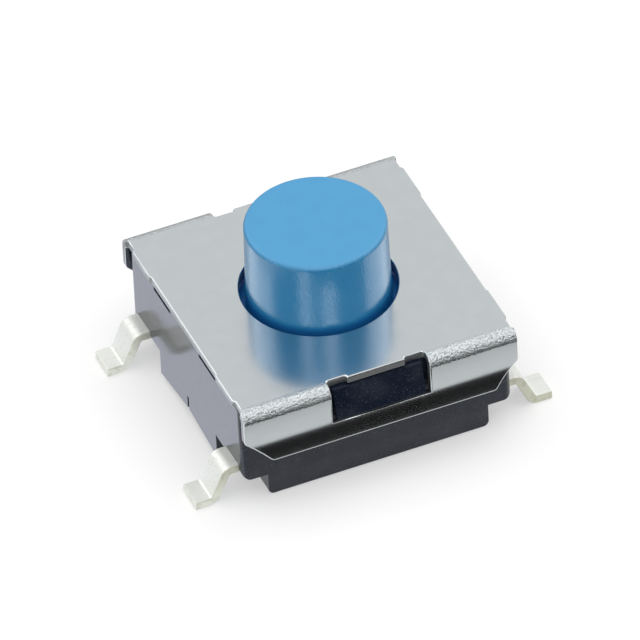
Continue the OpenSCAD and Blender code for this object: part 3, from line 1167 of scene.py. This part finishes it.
@dataclass(frozen=True)
class ContactStrip:
    """A plated strip across the base: a gull-wing terminal at each end, and its inner arms."""

    name: str
    node: str
    y: float
    arms: tuple[Bar, ...]
    tip: float = 3.875
    flat_top: float = 0.84
    thickness: float = 0.19
    width: float = 0.66
    bend_from: float = 3.06
    bend_radius: float = 0.08
    lean: float = 24.0
    edge_round: float = 0.03
    edge_steps: int = 3
    tip_round: float = 0.015
    tip_turn: float = 60.0
    tip_steps: int = 2
    side_share: float = 0.7
    tip_share: float = 0.99
    bend_steps: int = 10

    def half_line(self) -> list[Point]:
        """The centre line of the strip from its middle to one tip, in the XZ plane."""
        middle = self.bend_radius + self.thickness / 2
        turn = 90 - self.lean
        level = self.flat_top - self.thickness / 2
        foot = self.thickness / 2
        across = middle * math.sin(math.radians(turn))
        down = middle * (1 - math.cos(math.radians(turn)))
        leg = level - foot - 2 * down
        second = self.bend_from + 2 * across + leg * math.tan(math.radians(self.lean))
        upper = arc((self.bend_from, level - middle), middle, 90, 90 - turn, self.bend_steps)
        lower = arc((second, foot + middle), middle, 270 - turn, 270, self.bend_steps)
        return [(0.0, level), *upper, *lower, (self.tip, foot)]

    def centre_line(self) -> list[Place]:
        """The centre line from tip to tip."""
        half = self.half_line()
        whole = [(-x, z) for x, z in reversed(half[1:])] + half
        return [(x, self.y, z) for x, z in whole]

    def strip_tree(self) -> bpy.types.NodeTree:
        """The geometry tree that draws a strip along a line and bares its cut edges.

        Returns:
            The tree, whose inputs are the section's sizes and the strip's two materials.
        """
        numbers = ["Width", "Thickness", "Edge radius"]
        graph, given = geometry_tree("contact_strip", numbers, ["Plate", "Cut edge"])
        line = graph.add("GeometryNodeMeshToCurve", values={"Mesh": given["Geometry"]})
        sizes = {"Width": given["Width"], "Height": given["Thickness"]}
        section = graph.add("GeometryNodeCurvePrimitiveQuadrilateral", values=sizes)
        rounding = {"Curve": section, "Count": self.edge_steps, "Radius": given["Edge radius"]}
        section = graph.add("GeometryNodeFilletCurve", {"mode": "POLY"}, rounding)
        drawn = {"Curve": line, "Profile Curve": section, "Fill Caps": True}
        strip = graph.add("GeometryNodeCurveToMesh", values=drawn)
        plated = dressed(graph, strip, given["Plate"])
        along = graph.part(graph.add("GeometryNodeInputNormal"), "X")
        sides = along.of("Y").size() > self.side_share
        tips = along.size() > self.tip_share
        cut = {"Geometry": plated, "Selection": sides.most(tips), "Material": given["Cut edge"]}
        bared = graph.add("GeometryNodeSetMaterial", values=cut)
        graph.add("NodeGroupOutput", values={"Geometry": bared})
        return graph.tree

    def arm_mesh(self) -> bpy.types.Mesh:
        """The arms inside the base, each a box that starts within the strip."""
        arms = bmesh.new()
        for bar in self.arms:
            low = Vector((*bar.low, self.flat_top - self.thickness))
            high = Vector((*bar.high, self.flat_top))
            size, centre = (high - low) * MM, (high + low) / 2 * MM
            place = Matrix.Translation(centre) @ Matrix.Diagonal((*size, 1.0))
            bmesh.ops.create_cube(arms, size=1.0, matrix=place)
        mesh = bpy.data.meshes.new("arms")
        arms.to_mesh(mesh)
        arms.free()
        return mesh

    def build(self) -> bpy.types.Object:
        """Draws the strip, joins its arms to it and softens its tips.

        Returns:
            The piece, dressed and handed over.
        """
        values = {
            "Width": self.width * MM,
            "Thickness": self.thickness * MM,
            "Edge radius": self.edge_round * MM,
            "Plate": TIN.material(),
            "Cut edge": BRASS_EDGE.material(),
        }
        line = line_mesh("strip_line", self.centre_line())
        strip = run_tree(link(self.name, line), self.strip_tree(), values)
        arms = link("arms", self.arm_mesh())
        union = strip.modifiers.new("arms", "BOOLEAN")
        union.operation = "UNION"
        union.solver = "EXACT"
        union.object = arms
        settled(strip)
        bpy.data.objects.remove(arms)
        soften(strip, self.tip_round, self.tip_turn, self.tip_steps)
        hand_over(strip, self.node, Body.HOUSING, Slot.CONTACT)
        return strip


# Base and dome


@dataclass(frozen=True)
class NodeCopy:
    """What a piece has whose form is a CAD node's: the node, and the rounding of its edges."""

    source: bpy.types.Object
    edge_radius: float
    edge_turn: float = 32.0
    edge_steps: int = 2

    def copied(self, name: str, finish: Finish) -> bpy.types.Object:
        """Copies the node's mesh, merges it and rounds its edges.

        Args:
            name: The name of the piece.
            finish: Its finish.

        Returns:
            The piece, in its finish.
        """
        solid = bmesh.new()
        solid.from_mesh(self.source.data)
        bmesh.ops.remove_doubles(solid, verts=solid.verts, dist=SAME_POINT)
        flat = math.radians(FLAT_TURN)
        bmesh.ops.dissolve_limit(solid, angle_limit=flat, verts=solid.verts, edges=solid.edges)
        mesh = bpy.data.meshes.new(name)
        solid.to_mesh(mesh)
        solid.free()
        piece = link(name, mesh)
        mesh.materials.append(finish.material())
        soften(piece, self.edge_radius, self.edge_turn, self.edge_steps)
        return piece


@dataclass(frozen=True)
class MouldedBase(NodeCopy):
    """The moulded base, with the small radii that a mould leaves."""

    edge_radius: float = 0.025

    def build(self) -> bpy.types.Object:
        """Makes the base, dressed and handed over."""
        base = self.copied("moulded_base", SLATE)
        hand_over(base, "base", Body.HOUSING, Slot.BASE)
        return base


@dataclass(frozen=True)
class SnapDome(NodeCopy):
    """The snap dome, copied from its CAD node; the real dome flattens onto its seat as the button's
    nub presses it.
    """

    edge_radius: float = 0.008
    seat: float = 0.0
    flattened: float = 0.4

    def build(self) -> bpy.types.Object:
        """Makes the dome, dressed and handed over."""
        dome = self.copied("spring_dome", SPRING)
        hand_over(dome, "snap_dome", Body.HOUSING, Slot.DOME)
        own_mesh(dome)
        return dome


# Studio


@dataclass(frozen=True)
class PhotographView:
    """The camera: a long lens far off, as the photograph was taken."""

    azimuth: float = -21.565
    elevation: float = 40.70
    roll: float = -2.935
    distance: float = 333.4
    focal_pixels: float = 16730.0
    frame_pixels: float = 640.0
    sensor: float = 36.0
    aim_height: float = 2.5
    shift_right: float = -0.007
    shift_up: float = -0.732
    nearest: float = 10.0
    farthest: float = 10000.0

    def build(self) -> bpy.types.Object:
        """Makes the camera and gives it to the scene."""
        turn, rise, roll = (math.radians(a) for a in (self.azimuth, self.elevation, self.roll))
        level = math.cos(rise)
        back = Vector((math.sin(turn) * level, -math.cos(turn) * level, math.sin(rise)))
        right = Vector((math.cos(turn), math.sin(turn), 0.0))
        up = back.cross(right)
        aim = Vector((0.0, 0.0, self.aim_height)) + right * self.shift_right + up * self.shift_up
        turned_right = right * math.cos(roll) + up * math.sin(roll)
        turned_up = up * math.cos(roll) - right * math.sin(roll)
        lens = bpy.data.cameras.new("photograph_view")
        lens.sensor_width = self.sensor
        lens.lens = self.focal_pixels * self.sensor / self.frame_pixels
        lens.clip_start, lens.clip_end = self.nearest * MM, self.farthest * MM
        camera = bpy.data.objects.new("photograph_view", lens)
        axes = Matrix((turned_right, turned_up, back)).transposed().to_4x4()
        camera.matrix_world = Matrix.Translation((aim + back * self.distance) * MM) @ axes
        bpy.context.scene.collection.objects.link(camera)
        bpy.context.scene.camera = camera
        return camera


@dataclass(frozen=True)
class Reflector:
    """What all softboxes and flags of the light tent share: they are seen in reflections alone."""

    name: str
    level: float
    tint: str = field(default="#FFFFFF", kw_only=True)

    def show(self, points: list[Place], faces: list[tuple[int, ...]]) -> bpy.types.Object:
        """Puts the reflector into the scene.

        Args:
            points: Its corners, in millimetres.
            faces: Its faces.

        Returns:
            The reflector.
        """
        mesh = bpy.data.meshes.new(self.name)
        mesh.from_pydata([Vector(point) * MM for point in points], [], faces)
        reflector = link(self.name, mesh)
        material = bpy.data.materials.new(self.name)
        graph = bare_graph(material)
        light = {"Color": paint(self.tint), "Strength": self.level}
        glow = graph.add("ShaderNodeEmission", values=light)
        graph.add("ShaderNodeOutputMaterial", values={"Surface": glow})
        mesh.materials.append(material)
        reflector.visible_camera = False
        reflector.visible_diffuse = False
        reflector.visible_shadow = False
        return reflector


@dataclass(frozen=True)
class Panel(Reflector):
    """A softbox or flag that stands round the table, curved about the object.

    Its sides are azimuths, those of a camera that stands there, and its low and high edges are
    elevations above the table, all in degrees.
    """

    left: float
    right: float
    low: float
    high: float
    radius: float = 150.0
    step: float = 6.0
    fewest: int = 2

    def build(self) -> bpy.types.Object:
        """Makes the panel as a patch of a sphere."""
        columns = max(self.fewest, round((self.right - self.left) / self.step))
        rows = max(self.fewest, round((self.high - self.low) / self.step))
        points = []
        for row in range(rows + 1):
            rise = math.radians(self.low + (self.high - self.low) * row / rows)
            flat, height = self.radius * math.cos(rise), self.radius * math.sin(rise)
            for column in range(columns + 1):
                turn = math.radians(self.left + (self.right - self.left) * column / columns)
                points.append((flat * math.sin(turn), -flat * math.cos(turn), height))
        wide = columns + 1
        faces = [
            (r * wide + c, r * wide + c + 1, (r + 1) * wide + c + 1, (r + 1) * wide + c)
            for r in range(rows)
            for c in range(columns)
        ]
        return self.show(points, faces)


@dataclass(frozen=True)
class Card(Reflector):
    """A flat card that lies on the floor beside the object."""

    corners: tuple[Point, ...]
    lift: float = 0.01

    def build(self) -> bpy.types.Object:
        """Makes the card as one face."""
        points = [(x, y, self.lift) for x, y in self.corners]
        return self.show(points, [tuple(range(len(points)))])


@dataclass(frozen=True)
class Studio:
    """A pale floor under an even sky, a soft lamp above, and the panels that the metal mirrors."""

    floor_size: float = 2000.0
    floor_colour: float = 0.58
    floor_glow: float = 0.45
    sky: float = 0.55
    lamp_size: float = 640.0
    lamp_height: float = 420.0
    lamp_power: float = 1.8
    reflectors: tuple[Panel | Card, ...] = (
        Panel("back_panel", 0.75, 118.0, 202.0, 3.0, 62.0),
        Panel("right_panel", 3.0, 58.0, 118.0, 30.0, 52.0),
        Panel("left_panel", 3.0, 202.0, 262.0, 30.0, 52.0),
        Panel("left_flag", 0.35, 262.0, 308.0, 28.0, 55.0),
        Panel("left_strip", 4.8, 308.0, 325.0, 34.0, 48.0),
        Panel("front_panel", 0.9, 325.0, 343.0, 28.0, 55.0),
        Panel("right_strip", 4.8, 343.0, 365.0, 34.0, 48.0),
        Panel("right_flag", 0.35, 365.0, 418.0, 28.0, 55.0),
        Panel("low_flag", 0.01, -6.0, 38.0, 0.0, 19.0),
        Panel("top_panel", 1.35, 325.0, 420.0, 56.0, 80.0),
        Card("dark_card", 0.01, ((-7.0, -5.7), (-40.0, -150.0), (150.0, -120.0), (9.0, -5.7))),
        Card("rear_card", 0.25, ((-8.0, 5.8), (5.0, 5.8), (60.0, 150.0), (-150.0, 150.0))),
        Card("grey_card", 0.7, ((-8.0, -3.3), (-8.0, -5.7), (10.0, -5.7), (10.0, -3.3))),
        Card(
            "white_card",
            1.6,
            ((-2.95, -3.0), (-2.95, 5.7), (-4.4, 5.7), (-4.4, -3.0)),
            tint="#EFF2FF",
        ),
    )

    def floor(self) -> bpy.types.Object:
        """Makes the floor, on which the object's soft shadow stays."""
        half = self.floor_size / 2 * MM
        mesh = bpy.data.meshes.new("floor")
        corners = [(-half, -half, 0), (half, -half, 0), (half, half, 0), (-half, half, 0)]
        mesh.from_pydata(corners, [], [(0, 1, 2, 3)])
        floor = link("floor", mesh)
        material = bpy.data.materials.new("pale_floor")
        graph = bare_graph(material)
        seen = graph.add("ShaderNodeLightPath", output="Is Camera Ray")
        shown = seen.most(seen.of("Is Glossy Ray"))
        grey = (self.floor_colour,) * 3 + (1.0,)
        matt = graph.add("ShaderNodeBsdfDiffuse", values={"Color": grey})
        glow = graph.add("ShaderNodeEmission", values={"Strength": shown * self.floor_glow})
        both = graph.add("ShaderNodeAddShader", values={0: matt, 1: glow})
        graph.add("ShaderNodeOutputMaterial", values={"Surface": both})
        mesh.materials.append(material)
        return floor

    def world(self) -> None:
        """Makes the sky, which the camera and the metal see as white."""
        world = bpy.data.worlds.new("sky")
        graph = bare_graph(world)
        seen = graph.add("ShaderNodeLightPath", output="Is Camera Ray")
        shown = seen.most(seen.of("Is Glossy Ray")).most(seen.of("Is Transmission Ray"))
        strength = self.sky + shown * (1.0 - self.sky)
        sky = graph.add("ShaderNodeBackground", values={"Strength": strength})
        graph.add("ShaderNodeOutputWorld", values={"Surface": sky})
        bpy.context.scene.world = world

    def lamp(self) -> None:
        """Hangs the soft lamp over the table."""
        light = bpy.data.lights.new("soft_lamp", "AREA")
        light.shape = "SQUARE"
        light.size = self.lamp_size * MM
        light.energy = self.lamp_power
        lamp = bpy.data.objects.new("soft_lamp", light)
        lamp.location = (0.0, 0.0, self.lamp_height * MM)
        lamp.visible_glossy = False
        bpy.context.scene.collection.objects.link(lamp)

    def build(self) -> None:
        """Sets up the floor, the sky, the lamp and the panels."""
        self.floor()
        self.world()
        self.lamp()
        for reflector in self.reflectors:
            reflector.build()
        bpy.context.scene.view_settings.view_transform = "Standard"


CONTACT_STRIPS = (
    ContactStrip(
        "inner_strip",
        "inner_contact",
        y=-2.25,
        arms=(Bar((-0.45, -2.25), (0.45, 0.45)),),
    ),
    ContactStrip(
        "outer_strip",
        "outer_contact",
        y=2.25,
        arms=(Bar((-2.0, -1.1), (-1.5, 2.25)), Bar((1.5, -1.1), (2.0, 2.25))),
    ),
)


def main() -> None:
    """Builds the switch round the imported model, sub-assembly by sub-assembly."""
    logging.basicConfig(level=logging.INFO, format="%(name)s: %(message)s")
    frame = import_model()
    nodes = frame["nodes"]
    cover_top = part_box("cover")[1].z / MM
    button_foot, button_top = (corner.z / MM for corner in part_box("button"))
    FoldedCover(top=cover_top).build()
    PushButton(top=button_top, foot=button_foot).build()
    for strip in CONTACT_STRIPS:
        strip.build()
    MouldedBase(nodes["base"]).build()
    SnapDome(nodes["snap_dome"], seat=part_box("snap_dome")[0].z / MM).build()
    Studio().build()
    PhotographView().build()


if __name__ == "__main__":
    main()
